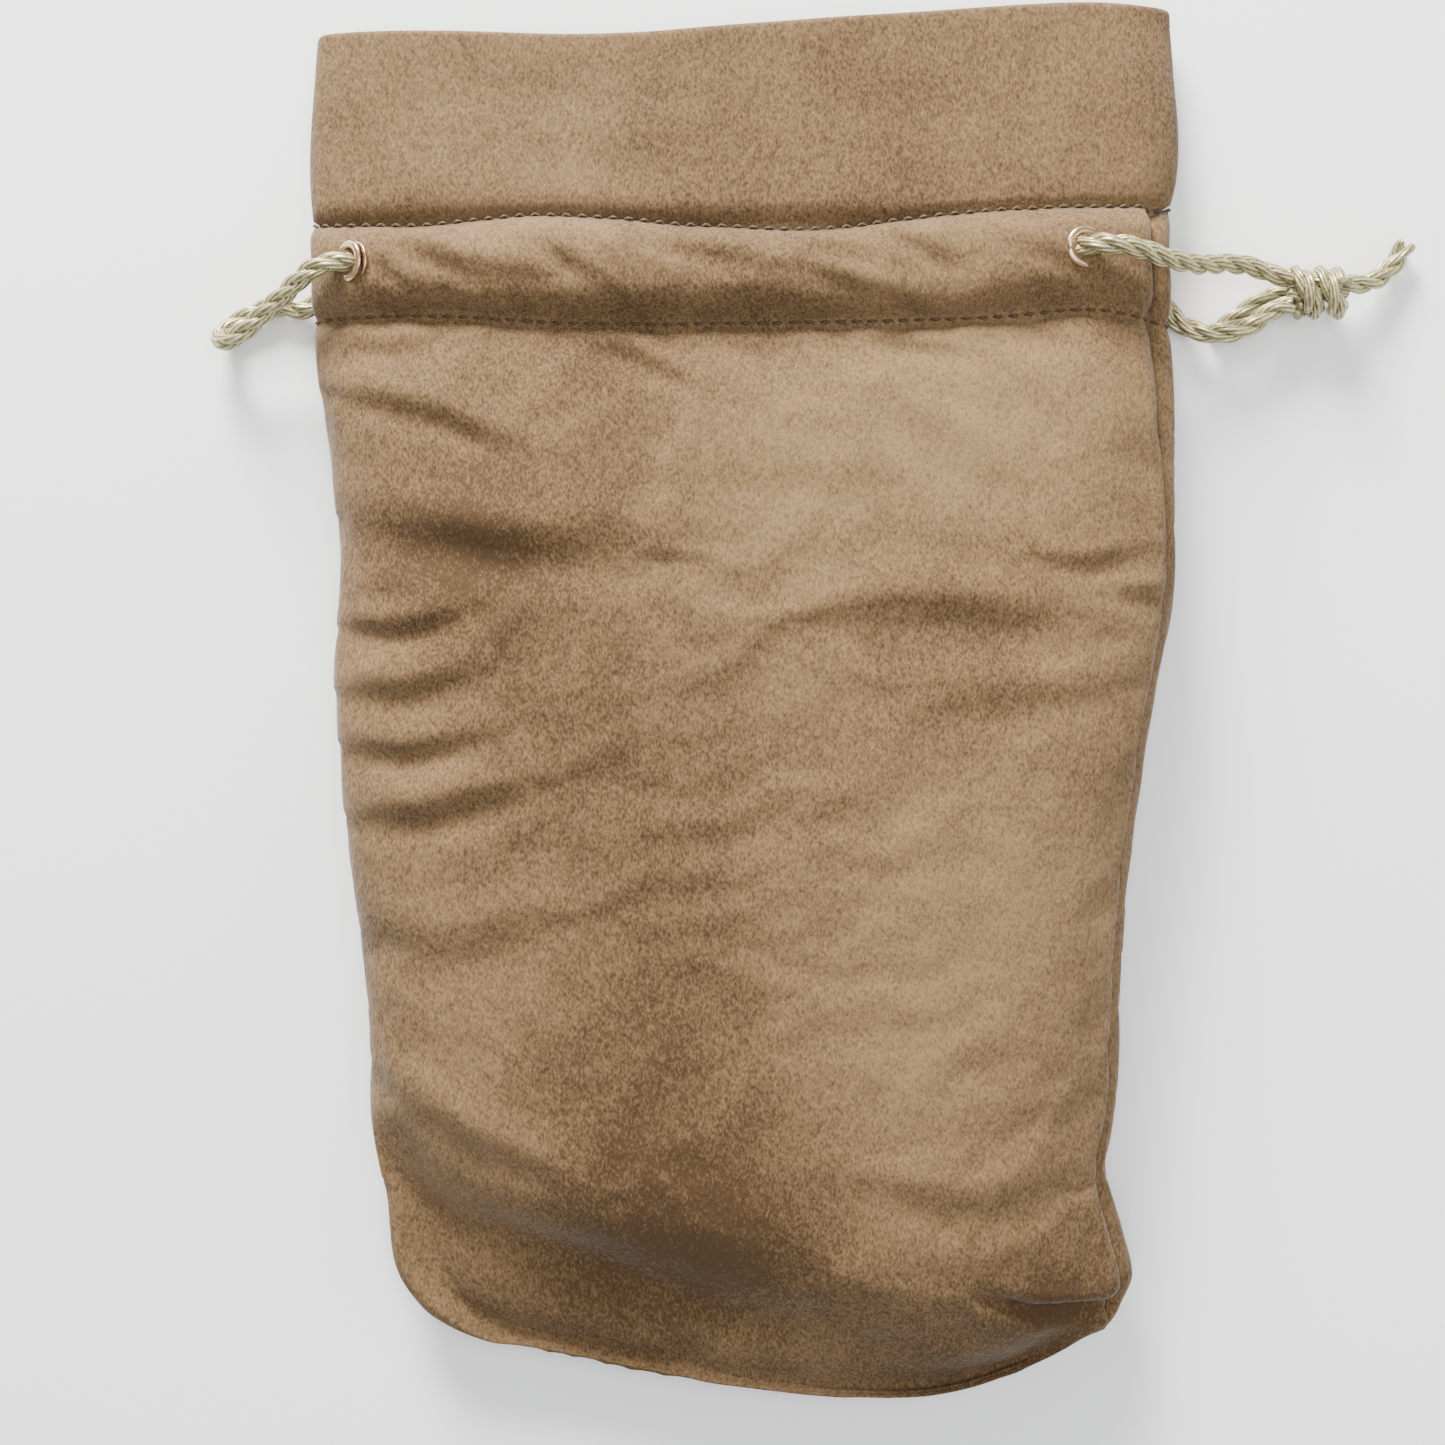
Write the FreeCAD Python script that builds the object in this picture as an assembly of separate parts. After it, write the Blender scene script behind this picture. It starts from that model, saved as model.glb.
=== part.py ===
"""Soft drawstring gift pouch, lying on its back with its mouth towards +Y.

The origin is on the table under the middle of the pouch. Lengths are in millimetres.
"""

import FreeCAD
import Part
import math
import os

from FreeCAD import Vector

# The flat size of the pouch and of the bands across it.
pouch_length = 280.0
pouch_width = 174.0
header_height = 44.4
casing_height = 20.0
hem_allowance = 6.6
base_width_lost = 27.0
base_bow = 19.0

# How far the pouch stands up, from the cloth below to the cloth above.
mouth_thickness = 13.6
stitched_thickness = 15.4
casing_thickness = 21.0
belly_thickness = 27.0
base_thickness = 20.0

# Cloth, seams and thread.
cloth = 1.2
channel_height = 5.2
corner_reach = 28.0
seam_share = 0.45
seam_allowance = 6.0
thread_width = 0.5
thread_depth = 0.35
sole_sink = 0.03
stitch_inset = 0.4
hinge_gap = 0.3
tuck_length = 12.0

# How far the cutting blocks run past the pouch, to the sides and up or down.
block_margin = 20.0
block_height = 80.0

# Cord and eyelets.
cord_diameter = 4.2
eyelet_hole_radius = 2.5
eyelet_wall = 0.4
eyelet_flange_radius = 4.2
eyelet_flange_height = 0.6
eyelet_roll = 0.35
washer_thickness = 0.5
eyelet_clearance = 0.15
eyelet_collar = 0.9
knot_face_x = 110.8
knot_length = 13.0
knot_width = 12.0

mouth_y = pouch_length / 2
base_y = -pouch_length / 2
upper_stitch_y = mouth_y - header_height
lower_stitch_y = upper_stitch_y - casing_height
hem_y = lower_stitch_y - hem_allowance
half_width = pouch_width / 2
casing_middle_y = (upper_stitch_y + lower_stitch_y) / 2
body_length = lower_stitch_y - base_y
cord_radius = cord_diameter / 2


def make_stations():
    """Return y, half width, thickness and channel height at each band of the pouch."""
    middle_y = casing_middle_y
    shoulder = 0.3 * casing_height
    shoulder_thickness = casing_thickness - 0.2 * channel_height
    shoulder_channel = 0.85 * channel_height
    stations = [
        (mouth_y, half_width - 0.5, mouth_thickness, 0.0),
        (mouth_y - header_height / 2, half_width + 0.5, mouth_thickness + 1.0, 0.0),
        (upper_stitch_y, half_width - 0.7, stitched_thickness, 0.0),
        (middle_y + shoulder, half_width - 1.0, shoulder_thickness, shoulder_channel),
        (middle_y, half_width - 1.0, casing_thickness, channel_height),
        (middle_y - shoulder, half_width - 1.0, shoulder_thickness, shoulder_channel),
        (lower_stitch_y, half_width - 1.0, stitched_thickness, 0.0),
        (hem_y, half_width - 1.4, stitched_thickness + 3.0, 0.0),
    ]
    rise = stitched_thickness + 3.0
    # Below the hem: share of the body's length, of the width lost and of the belly's swell.
    for share, lost, thickness in (
        (0.17, 0.15, 0.5), (0.36, 0.4, 0.85), (0.64, 0.76, 1.0), (0.84, 0.94, 0.9)
    ):
        stations.append((
            lower_stitch_y - share * body_length,
            half_width - lost * base_width_lost / 2,
            rise + thickness * (belly_thickness - rise),
            0.0,
        ))
    stations.append((base_y, half_width - base_width_lost / 2, base_thickness, 0.0))
    return stations


stations = make_stations()


def quarter(start, corner, end):
    """Return a quarter of an ellipse from start to end, tangent to both legs at corner."""
    curve = Part.BezierCurve()
    curve.setPoles([start, corner, end])
    curve.setWeight(2, math.sqrt(0.5))
    return curve.toShape()


def section(y, half, thickness, inset):
    """Return the closed outline of the pouch across Y, drawn in by the inset."""
    side = half - inset
    flat = half - corner_reach
    seam = seam_share * thickness
    low, high = inset - sole_sink, thickness - inset
    edges = [
        Part.makeLine(Vector(-flat, y, low), Vector(flat, y, low)),
        quarter(Vector(flat, y, low), Vector(side, y, low), Vector(side, y, seam)),
        quarter(Vector(side, y, seam), Vector(side, y, high), Vector(flat, y, high)),
        Part.makeLine(Vector(flat, y, high), Vector(-flat, y, high)),
        quarter(Vector(-flat, y, high), Vector(-side, y, high), Vector(-side, y, seam)),
        quarter(Vector(-side, y, seam), Vector(-side, y, low), Vector(-flat, y, low)),
    ]
    return Part.Wire(edges)


def skin(inset, channel_share=0.0, lowest_y=None):
    """Return the solid inside the pouch's cloth at an inset, with a share of the channel."""
    wires = []
    for y, half, thickness, channel in stations:
        if lowest_y is None or y > lowest_y - 0.01:
            wires.append(section(y, half, thickness, inset + channel_share * channel))
    return Part.makeLoft(wires, True, True)


def slab(below, above):
    """Return a wide slab between two heights measured from the side seam."""
    wires = []
    wide = half_width + block_margin
    for y, half, thickness, channel in stations:
        seam = seam_share * thickness
        low, high = seam - below, seam + above
        corners = [
            Vector(-wide, y, low), Vector(wide, y, low), Vector(wide, y, high), Vector(-wide, y, high)
        ]
        wires.append(Part.makePolygon(corners + corners[:1]))
    return Part.makeLoft(wires, True, True)


def band(low_y, high_y):
    """Return a tall block between two places along Y."""
    wide = half_width + block_margin
    foot = Vector(-wide, low_y, -block_margin)
    return Part.makeBox(2 * wide, high_y - low_y, block_height, foot)


def base_prism(inset):
    """Return the block above the bowed base line, drawn in by the inset."""
    wide = half_width + 5.0
    corner_y = base_y + 1.5 * base_bow
    start = Vector(-wide, corner_y + inset, -block_margin)
    lowest = Vector(0, base_y + inset, -block_margin)
    end = Vector(wide, corner_y + inset, -block_margin)
    top_right = Vector(wide, mouth_y + block_margin, -block_margin)
    top_left = Vector(-wide, mouth_y + block_margin, -block_margin)
    edges = [
        Part.Arc(start, lowest, end).toShape(),
        Part.makeLine(end, top_right),
        Part.makeLine(top_right, top_left),
        Part.makeLine(top_left, start),
    ]
    return Part.Face(Part.Wire(edges)).extrude(Vector(0, 0, block_height))


def surface_height(x, y, upper):
    """Return the height of the cloth's outer face, above or below, at a place."""
    for (y1, half1, thick1, _), (y2, half2, thick2, _) in zip(stations, stations[1:]):
        if y2 <= y <= y1:
            share = (y1 - y) / (y1 - y2)
            half = half1 + share * (half2 - half1)
            thickness = thick1 + share * (thick2 - thick1)
    reach = max(0.0, abs(x) - (half - corner_reach)) / corner_reach
    drop = math.sqrt(1 - reach ** 2)
    seam = seam_share * thickness
    if upper:
        return seam + (thickness - seam) * drop
    return seam - seam * drop


far_down = slab(block_height, 0.0)
far_up = slab(0.0, block_height)
# The cloth is lofted a hair too low and cut off level, so that it lies flat on the table.
table = Part.makeBox(
    2 * pouch_width, 2 * pouch_length, block_margin, Vector(-pouch_width, -pouch_length, -block_margin)
)
outer = skin(0.0).cut(table)
lining_side = skin(cloth)
inner = skin(2 * cloth)
channel_top = skin(cloth, 1.0, hem_y)
channel_floor = skin(2 * cloth, 1.0, hem_y)
base_outer = base_prism(0.0)
base_inner = base_prism(cloth)
cavity = lining_side.common(base_inner)

parts = {}


def thread_line(y):
    """Return the thread groove that runs round the pouch at a stitch line."""
    ring = skin(0.05).cut(skin(thread_depth + 0.05))
    return ring.common(band(y - thread_width / 2, y + thread_width / 2))


def make_cloth():
    """Make the panels, headers and facings, which are cut from two pieces of cloth."""
    body = band(base_y - 5, upper_stitch_y)
    shell = outer.common(base_outer).cut(cavity).common(body)
    upper_thread = thread_line(upper_stitch_y - stitch_inset)
    lower_thread = thread_line(lower_stitch_y)
    shell = shell.cut(upper_thread).cut(lower_thread)
    facing = channel_top.cut(channel_floor)
    header = outer.cut(inner)
    halves = (("front", far_up, hinge_gap), ("back", far_down, 0.0))
    for side, half, gap in halves:
        parts[side + "_panel"] = shell.common(half)
        parts[side + "_facing"] = facing.common(half).common(band(hem_y, upper_stitch_y))
        header_band = band(upper_stitch_y + gap, mouth_y + 1)
        lift = slab(block_height, gap)
        half_header = header.common(half).common(header_band)
        parts[side + "_header"] = half_header.cut(lift) if gap else half_header
        parts[side + "_upper_stitches"] = upper_thread.common(half)
        parts[side + "_lower_stitches"] = lower_thread.common(half)


def make_seams():
    """Make the allowances inside the side and base seams, their thread and the corner tucks."""
    strip = slab(cloth, cloth)
    thread_slab = slab(thread_width / 2, thread_width / 2)
    sides = lining_side.cut(skin(cloth + seam_allowance)).common(strip)
    tuck_y = base_y + base_bow + tuck_length
    sides = sides.common(band(tuck_y, hem_y - cloth))
    thread = skin(2 * cloth).cut(skin(2 * cloth + thread_depth)).common(thread_slab)
    thread = thread.common(band(tuck_y, hem_y - cloth))
    wide = half_width + block_margin
    for name, x in (("left", -wide), ("right", 0.0)):
        foot = Vector(x, -pouch_length, -block_margin)
        block = Part.makeBox(wide, 2 * pouch_length, block_height, foot)
        parts[name + "_seam_thread"] = thread.common(block)
        parts[name + "_seam_allowance"] = sides.common(block).cut(thread)
    bottom = cavity.common(strip).cut(base_prism(cloth + seam_allowance))
    bottom = bottom.common(base_slot())
    bottom_thread = base_prism(2 * cloth).cut(base_prism(2 * cloth + thread_depth))
    bottom_thread = bottom_thread.common(thread_slab).common(base_slot())
    parts["base_seam_thread"] = bottom_thread.common(cavity)
    parts["base_seam_allowance"] = bottom.cut(bottom_thread)
    for name, sign in (("left", -1), ("right", 1)):
        parts[name + "_corner_tuck"] = corner_tuck(sign)


def base_slot():
    """Return the block that ends the base seam at the two boxed corners."""
    reach = half_width - base_width_lost / 2 - tuck_length
    foot = Vector(-reach, -pouch_length, -block_margin)
    return Part.makeBox(2 * reach, pouch_length, block_height, foot)


def corner_tuck(sign):
    """Return the folded ear of cloth behind one boxed corner."""
    side = half_width - base_width_lost / 2
    corner_y = base_y + base_bow - 2.0
    triangle = Part.makePolygon([
        Vector(sign * (side + 6), corner_y - 12, 0),
        Vector(sign * (side + 6), corner_y + tuck_length + 4, 0),
        Vector(sign * (side - tuck_length - 8), corner_y - 8, 0),
        Vector(sign * (side + 6), corner_y - 12, 0),
    ])
    seam = seam_share * base_thickness + 3 * cloth
    wedge = Part.Face(triangle).extrude(Vector(0, 0, 2 * cloth))
    wedge.translate(Vector(0, 0, seam))
    return wedge.common(cavity)


def turned(profile, place, normal):
    """Spin a closed profile of radius and height pairs about an eyelet's axis."""
    points = [Vector(radius, 0, height) for radius, height in profile]
    face = Part.Face(Part.makePolygon(points + points[:1]))
    solid = face.revolve(Vector(0, 0, 0), Vector(0, 0, 1), 360)
    solid.Placement = FreeCAD.Placement(place, FreeCAD.Rotation(Vector(0, 0, 1), normal))
    return solid


def ring(inner_radius, outer_radius, low, high, place, normal):
    """Return a flat ring on an eyelet's axis."""
    profile = [(inner_radius, low), (outer_radius, low), (outer_radius, high), (inner_radius, high)]
    return turned(profile, place, normal)


def make_eyelet(name, panel, x, y, tilt, upper, lift):
    """Set one eyelet and its washer in a panel, tilted out towards the side."""
    side = 1 if x > 0 else -1
    rise = 1 if upper else -1
    place = Vector(x, y, surface_height(x, y, upper) + lift)
    angle = math.radians(tilt)
    normal = Vector(side * math.sin(angle), 0, rise * math.cos(angle))
    hole, barrel = eyelet_hole_radius, eyelet_hole_radius + eyelet_wall
    rim, top = eyelet_flange_radius, eyelet_flange_height
    low = -(cloth + washer_thickness)
    profile = [
        (hole + eyelet_roll, top), (hole, top - eyelet_roll), (hole, low - 0.1),
        (hole + 0.2, low - eyelet_wall), (barrel + 0.7, low - eyelet_wall), (barrel + 0.8, low),
        (barrel, low), (barrel, 0.0), (rim, 0.0), (rim, 0.6 * top), (rim - eyelet_roll, top),
    ]
    parts[name + "_eyelet"] = turned(profile, place, normal)
    parts[name + "_washer"] = ring(barrel, rim, low, -cloth, place, normal)
    free = rim + eyelet_clearance
    collar = free + eyelet_collar
    depth = cloth + washer_thickness + 1.5
    foot = place - normal * depth
    height = depth + eyelet_flange_height + 1.0
    envelope = Part.makeCylinder(free, height, foot, normal)
    wide_envelope = Part.makeCylinder(collar, height, foot, normal)
    clamped = ring(barrel, collar, -cloth, 0.0, place, normal)
    for other in ("front_panel", "back_panel", "front_facing", "back_facing"):
        if other == panel:
            parts[other] = parts[other].cut(envelope).fuse(clamped).removeSplitter()
        else:
            parts[other] = parts[other].cut(wide_envelope)


make_cloth()
make_seams()

# name, panel, side, distance in from that side, distance above the casing's middle,
# tilt from the vertical, whether on the upper side, lift off the cloth
eyelet_rows = (
    ("front_left", "front_panel", -1, 8.6, 1.2, 46.0, True, 0.2),
    ("front_right", "front_panel", 1, 20.0, 3.6, 18.0, True, 0.0),
    ("back_left", "back_panel", -1, 6.5, -1.1, 68.0, False, 1.2),
    ("back_right", "back_panel", 1, 6.5, -1.1, 68.0, False, 1.2),
)
for name, panel, side, from_side, above, tilt, upper, lift in eyelet_rows:
    x = side * (half_width - from_side)
    make_eyelet(name, panel, x, casing_middle_y + above, tilt, upper, lift)


# The cord leaves the knot, runs round inside the casing and comes back to the knot.
cord_route = [
    # from the knot to the front right eyelet
    (knot_face_x, 85.4, 7.4), (107.6, 85.4, 7.4), (103.4, 87.4, 8.0), (97.6, 87.6, 10.6),
    (91.0, 86.3, 15.4), (84.2, 86.4, 19.8), (77.8, 88.2, 23.0), (71.8, 89.0, 24.2),
    (67.7, 89.2, 22.6), (66.0, 89.2, 18.9),
    # inside the front of the casing
    (63.0, 88.7, 17.3), (57.2, 87.7, 17.1), (46.0, 86.2, 17.2), (26.0, 84.8, 17.2),
    (0.0, 86.4, 17.2), (-26.0, 84.8, 17.2), (-48.0, 85.2, 17.2), (-60.0, 85.6, 17.0),
    (-68.4, 86.4, 16.2), (-74.6, 86.8, 15.0),
    # round the loop, from the front left eyelet to the back left one
    (-79.6, 86.7, 18.4), (-84.8, 85.6, 18.8), (-90.0, 81.8, 15.8), (-96.2, 77.0, 12.2),
    (-102.8, 72.1, 10.3), (-106.3, 72.8, 6.25), (-105.1, 76.2, 2.2), (-100.0, 79.0, 2.2),
    (-94.8, 80.7, 2.3), (-90.0, 79.4, 2.4),
    (-86.2, 81.0, 2.9), (-83.4, 83.8, 3.9), (-79.4, 84.7, 5.5),
    # inside the back of the casing
    (-74.8, 85.0, 5.6), (-69.0, 85.1, 4.4), (-58.0, 85.6, 3.9), (-37.0, 86.2, 3.8),
    (-12.0, 85.0, 3.8), (14.0, 86.2, 3.8), (38.0, 85.2, 3.8), (58.0, 85.6, 3.9),
    (69.0, 85.1, 4.4), (74.8, 85.0, 5.6),
    # from the back right eyelet to the knot
    (79.4, 84.7, 5.5), (83.4, 83.4, 3.9), (86.2, 79.8, 2.8), (89.6, 75.8, 3.4),
    (95.0, 73.8, 7.0), (101.0, 74.6, 8.0), (105.2, 77.6, 7.6), (107.8, 79.6, 7.4),
    (knot_face_x, 79.6, 7.4),
]

# Each piece of the cord and the two points of the route that it runs between.
cord_pieces = (
    ("pull_front_strand", 0, 9),
    ("drawstring_front_run", 9, 19),
    ("loop_front_strand", 19, 24),
    ("loop_tip", 24, 26),
    ("loop_back_strand", 26, 32),
    ("drawstring_back_run", 32, 42),
    ("pull_back_strand", 42, 51),
)
tail_routes = {
    "pull_tail": [
        (knot_face_x + knot_length, 84.4, 5.4), (126.4, 84.4, 5.4), (130.0, 86.0, 3.8),
        (133.4, 89.0, 2.5), (135.4, 92.4, 2.3),
    ],
    "pull_tail_tucked": [
        (knot_face_x, 82.5, 2.5), (107.6, 82.5, 2.5), (103.6, 80.4, 2.3), (99.4, 77.0, 2.2),
        (95.6, 74.6, 2.2),
    ],
}


def corner_arc(before, corner, after):
    """Return the arc that rounds a corner of the route, with its two ends and radius."""
    into, out = before - corner, after - corner
    half_turn = (math.pi - into.getAngle(out)) / 2
    reach = 0.45 * min(into.Length, out.Length)
    into.normalize()
    out.normalize()
    bisector = into + out
    bisector.normalize()
    radius = reach / math.tan(half_turn)
    middle = corner + bisector * (radius / math.cos(half_turn) - radius)
    first, last = corner + into * reach, corner + out * reach
    return Part.Arc(first, middle, last).toShape(), first, last, radius


def cord_edges(route, first, last):
    """Return the edges of a route between two of its points and the radii of its arcs.

    A piece that starts or ends inside the route does so halfway along a run.
    """
    points = [Vector(*point) for point in route]
    start = points[0] if first == 0 else (points[first] + points[first + 1]) / 2
    edges, radii = [], []
    stop = last if last == len(points) - 1 else last + 1
    for index in range(first + 1, stop):
        arc, arc_start, arc_end, radius = corner_arc(*points[index - 1:index + 2])
        edges.append(Part.LineSegment(start, arc_start).toShape())
        edges.append(arc)
        radii.append(radius)
        start = arc_end
    end = points[last] if last == len(points) - 1 else (points[last] + points[last + 1]) / 2
    edges.append(Part.LineSegment(start, end).toShape())
    return edges, radii


def tube(edges):
    """Return a round cord along edges that follow on from each other."""
    first = edges[0]
    start = first.valueAt(first.FirstParameter)
    direction = first.tangentAt(first.FirstParameter)
    circle = Part.Wire(Part.makeCircle(cord_radius, start, direction))
    return Part.Wire(edges).makePipeShell([circle], True, True)


def add_cord(name, route, first, last):
    """Make one piece of cord and print its length, radii and volume against its section."""
    edges, radii = cord_edges(route, first, last)
    parts[name] = tube(edges)
    length = sum(edge.Length for edge in edges)
    share = parts[name].Volume / (length * math.pi * cord_radius ** 2)
    shown = [round(radius / cord_diameter, 1) for radius in radii]
    print(name, "length", round(length, 1), "volume share", round(share, 4), "radii", shown)


def make_knot():
    """Make the outer shape of the overhand knot that ties the two ends of the cord."""
    radius = knot_width / 2
    knot = Part.makeCylinder(radius, knot_length, Vector(knot_face_x, 82.5, 6.0), Vector(1, 0, 0))
    far_edges = [edge for edge in knot.Edges if edge.BoundBox.XMin > knot_face_x + knot_length / 2]
    parts["pull_knot"] = knot.makeFillet(0.6 * radius, far_edges)


for name, first, last in cord_pieces:
    add_cord(name, cord_route, first, last)
for name, route in tail_routes.items():
    add_cord(name, route, 0, len(route) - 1)
make_knot()

os.makedirs("parts", exist_ok=True)
for name, shape in parts.items():
    shape.exportStep("parts/" + name + ".step")
    box = shape.BoundBox
    print(
        name, "solids", len(shape.Solids), "valid", shape.isValid(), "volume", round(shape.Volume, 1),
        "x", round(box.XMin, 1), round(box.XMax, 1), "y", round(box.YMin, 1), round(box.YMax, 1),
        "z", round(box.ZMin, 2), round(box.ZMax, 2),
    )
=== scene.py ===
import bpy
import math
import numpy as np
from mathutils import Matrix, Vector, noise


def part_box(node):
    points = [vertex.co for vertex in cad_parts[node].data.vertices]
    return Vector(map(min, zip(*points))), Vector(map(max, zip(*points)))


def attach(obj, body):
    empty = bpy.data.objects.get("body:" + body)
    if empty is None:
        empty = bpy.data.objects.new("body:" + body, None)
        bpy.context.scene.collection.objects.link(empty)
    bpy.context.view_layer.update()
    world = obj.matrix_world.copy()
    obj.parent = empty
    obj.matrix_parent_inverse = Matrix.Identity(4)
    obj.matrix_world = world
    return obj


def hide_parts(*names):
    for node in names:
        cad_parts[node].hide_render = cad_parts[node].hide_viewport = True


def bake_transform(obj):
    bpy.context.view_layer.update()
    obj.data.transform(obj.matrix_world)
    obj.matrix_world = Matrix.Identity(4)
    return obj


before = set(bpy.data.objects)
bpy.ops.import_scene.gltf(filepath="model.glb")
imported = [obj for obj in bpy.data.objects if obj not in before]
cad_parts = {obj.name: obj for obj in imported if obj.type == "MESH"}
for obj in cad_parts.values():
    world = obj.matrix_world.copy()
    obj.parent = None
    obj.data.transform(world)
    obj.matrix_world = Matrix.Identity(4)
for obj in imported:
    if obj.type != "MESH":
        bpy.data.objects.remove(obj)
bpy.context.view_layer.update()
mm = 0.001
scene = bpy.context.scene
print("frame loaded")

# camera, floor and light, with the camera straight above the pouch

studio = {
    "centre": (-4.3, -4.5),
    "viewWidth": 289.0,
    "lens": 60.0,
    "focusHeight": 12.0,
    "floor": (0.93, 0.93, 0.93),
    "wall": (0.95, 0.97, 1.0),
    "wallStrength": 0.60,
}
# place in metres, aim in metres, size, power, colour
lamps = {
    "window": ((-0.30, 1.05, 0.45), (0.0, 0.0, 0.0), 0.45, 62.0, (1.0, 0.98, 0.95)),
    "ceiling": ((0.15, 0.0, 1.2), (0.0, 0.0, 0.0), 0.9, 12.0, (0.97, 0.98, 1.0)),
    "rightFill": ((0.9, -0.1, 0.5), (0.0, 0.0, 0.0), 0.6, 3.0, (1.0, 0.98, 0.95)),
}


def deselectAll():
    if bpy.context.object and bpy.context.object.mode != "OBJECT":
        bpy.ops.object.mode_set(mode="OBJECT")
    bpy.ops.object.select_all(action="DESELECT")


def makeActive(piece):
    deselectAll()
    piece.select_set(True)
    bpy.context.view_layer.objects.active = piece


def makeStudio():
    x, y = studio["centre"]
    distance = studio["viewWidth"] * studio["lens"] / 36.0 + studio["focusHeight"]
    bpy.ops.object.camera_add(location=(x * mm, y * mm, distance * mm), rotation=(0, 0, 0))
    camera = bpy.context.object
    camera.name = "camera"
    camera.data.lens = studio["lens"]
    camera.data.sensor_width = 36.0
    camera.data.clip_start = 0.01
    scene.camera = camera
    for name, (place, aim, size, power, colour) in lamps.items():
        bpy.ops.object.light_add(type="AREA", location=place)
        lamp = bpy.context.object
        lamp.name = name
        lamp.data.shape = "SQUARE"
        lamp.data.size = size
        lamp.data.energy = power
        lamp.data.color = colour
        lamp.rotation_euler = (Vector(aim) - Vector(place)).to_track_quat("-Z", "Y").to_euler()
    world = bpy.data.worlds.new("studioWorld")
    world.use_nodes = True
    background = world.node_tree.nodes["Background"]
    background.inputs["Color"].default_value = (*studio["wall"], 1.0)
    background.inputs["Strength"].default_value = studio["wallStrength"]
    scene.world = world
    deselectAll()
    bpy.ops.mesh.primitive_plane_add(size=3.0, location=(0, 0, -0.0002))
    floor = bpy.context.object
    floor.name = "floor"
    paper = bpy.data.materials.new("paper")
    paper.use_nodes = True
    shader = paper.node_tree.nodes["Principled BSDF"]
    shader.inputs["Base Color"].default_value = (*studio["floor"], 1.0)
    shader.inputs["Roughness"].default_value = 0.7
    floor.data.materials.append(paper)


makeStudio()
print("studio ready")

# the cord, a loose three-ply twist, all in millimetres

cordShape = {
    "diameter": 4.2,
    "plies": 3,
    "plyRadius": 1.02,
    "helixRadius": 1.06,
    "pitch": 15.5,
    "sides": 14,
    "step": 0.45,
    "hiddenSides": 8,
    "hiddenStep": 1.0,
    "flareLength": 5.0,
    "flareSpread": 0.45,
    "flareThin": 0.25,
    "wander": 0.05,
}
# the route's points are estimates
# The points of the route, in millimetres, from the knot round the pouch and back.
pullFrontRoute = [
    (110.8, 85.4, 7.4), (107.6, 85.4, 7.4), (103.4, 87.4, 8.0), (97.6, 87.6, 10.6),
    (91.0, 86.3, 15.4), (84.2, 86.4, 19.8), (77.8, 88.2, 23.0), (71.8, 89.0, 24.2),
    (67.7, 89.2, 22.6), (66.0, 89.2, 18.9), (63.0, 88.7, 17.3),
]
frontRunRoute = [
    (64.0, 88.9, 17.9), (57.2, 87.7, 17.1), (46.0, 86.2, 17.2), (26.0, 84.8, 17.2),
    (0.0, 86.4, 17.2), (-26.0, 84.8, 17.2), (-48.0, 85.2, 17.2), (-60.0, 85.6, 17.0),
    (-68.4, 86.4, 16.2), (-73.0, 86.7, 15.4),
]
loopRoute = [
    (-72.0, 86.6, 15.5), (-74.6, 86.8, 15.0), (-79.6, 86.7, 18.4), (-84.8, 85.6, 18.8),
    (-90.0, 81.8, 15.8), (-96.2, 77.0, 12.2), (-102.8, 72.1, 10.3), (-106.3, 72.8, 6.25),
    (-105.1, 76.2, 2.2), (-100.0, 79.0, 2.2), (-94.8, 80.7, 2.3), (-90.0, 79.4, 2.4),
    (-86.2, 81.0, 2.9), (-83.4, 83.8, 3.9), (-79.4, 84.7, 5.5), (-75.8, 85.0, 5.6),
]
backRunRoute = [
    (-77.0, 84.9, 5.6), (-69.0, 85.1, 4.4), (-58.0, 85.6, 3.9), (-37.0, 86.2, 3.8),
    (-12.0, 85.0, 3.8), (14.0, 86.2, 3.8), (38.0, 85.2, 3.8), (58.0, 85.6, 3.9),
    (69.0, 85.1, 4.4), (77.0, 84.9, 5.6),
]
pullBackRoute = [
    (75.8, 85.0, 5.6), (79.4, 84.7, 5.5), (83.4, 83.4, 3.9), (86.2, 79.8, 2.8),
    (89.6, 75.8, 3.4), (95.0, 73.8, 7.0), (101.0, 74.6, 8.0), (105.2, 77.6, 7.6),
    (107.8, 79.6, 7.4), (110.8, 79.6, 7.4),
]
tailRoute = [
    (121.0, 84.0, 6.4), (124.8, 84.4, 5.2), (128.0, 85.0, 4.2), (131.0, 87.2, 2.9), (133.6, 90.2, 2.4),
    (135.0, 93.2, 2.3),
]
tuckedTailRoute = [
    (113.4, 82.5, 3.4), (110.4, 82.5, 2.6), (107.2, 82.3, 2.4), (103.6, 80.4, 2.3),
    (99.4, 77.0, 2.2), (95.6, 74.6, 2.2),
]
knotShape = {
    "start": 111.8, "length": 8.6, "centreY": 82.5, "centreZ": 6.3, "radius": 3.6, "turns": 1.2,
    "points": 12, "strandGap": 1.0, "partPhase": 1.3, "tailPhase": 0.4, "tuckedTailPhase": 1.9,
    "core": ((110.0, 82.5, 6.3), (116.0, 82.6, 6.2), (122.0, 82.9, 6.0)),
}


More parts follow.
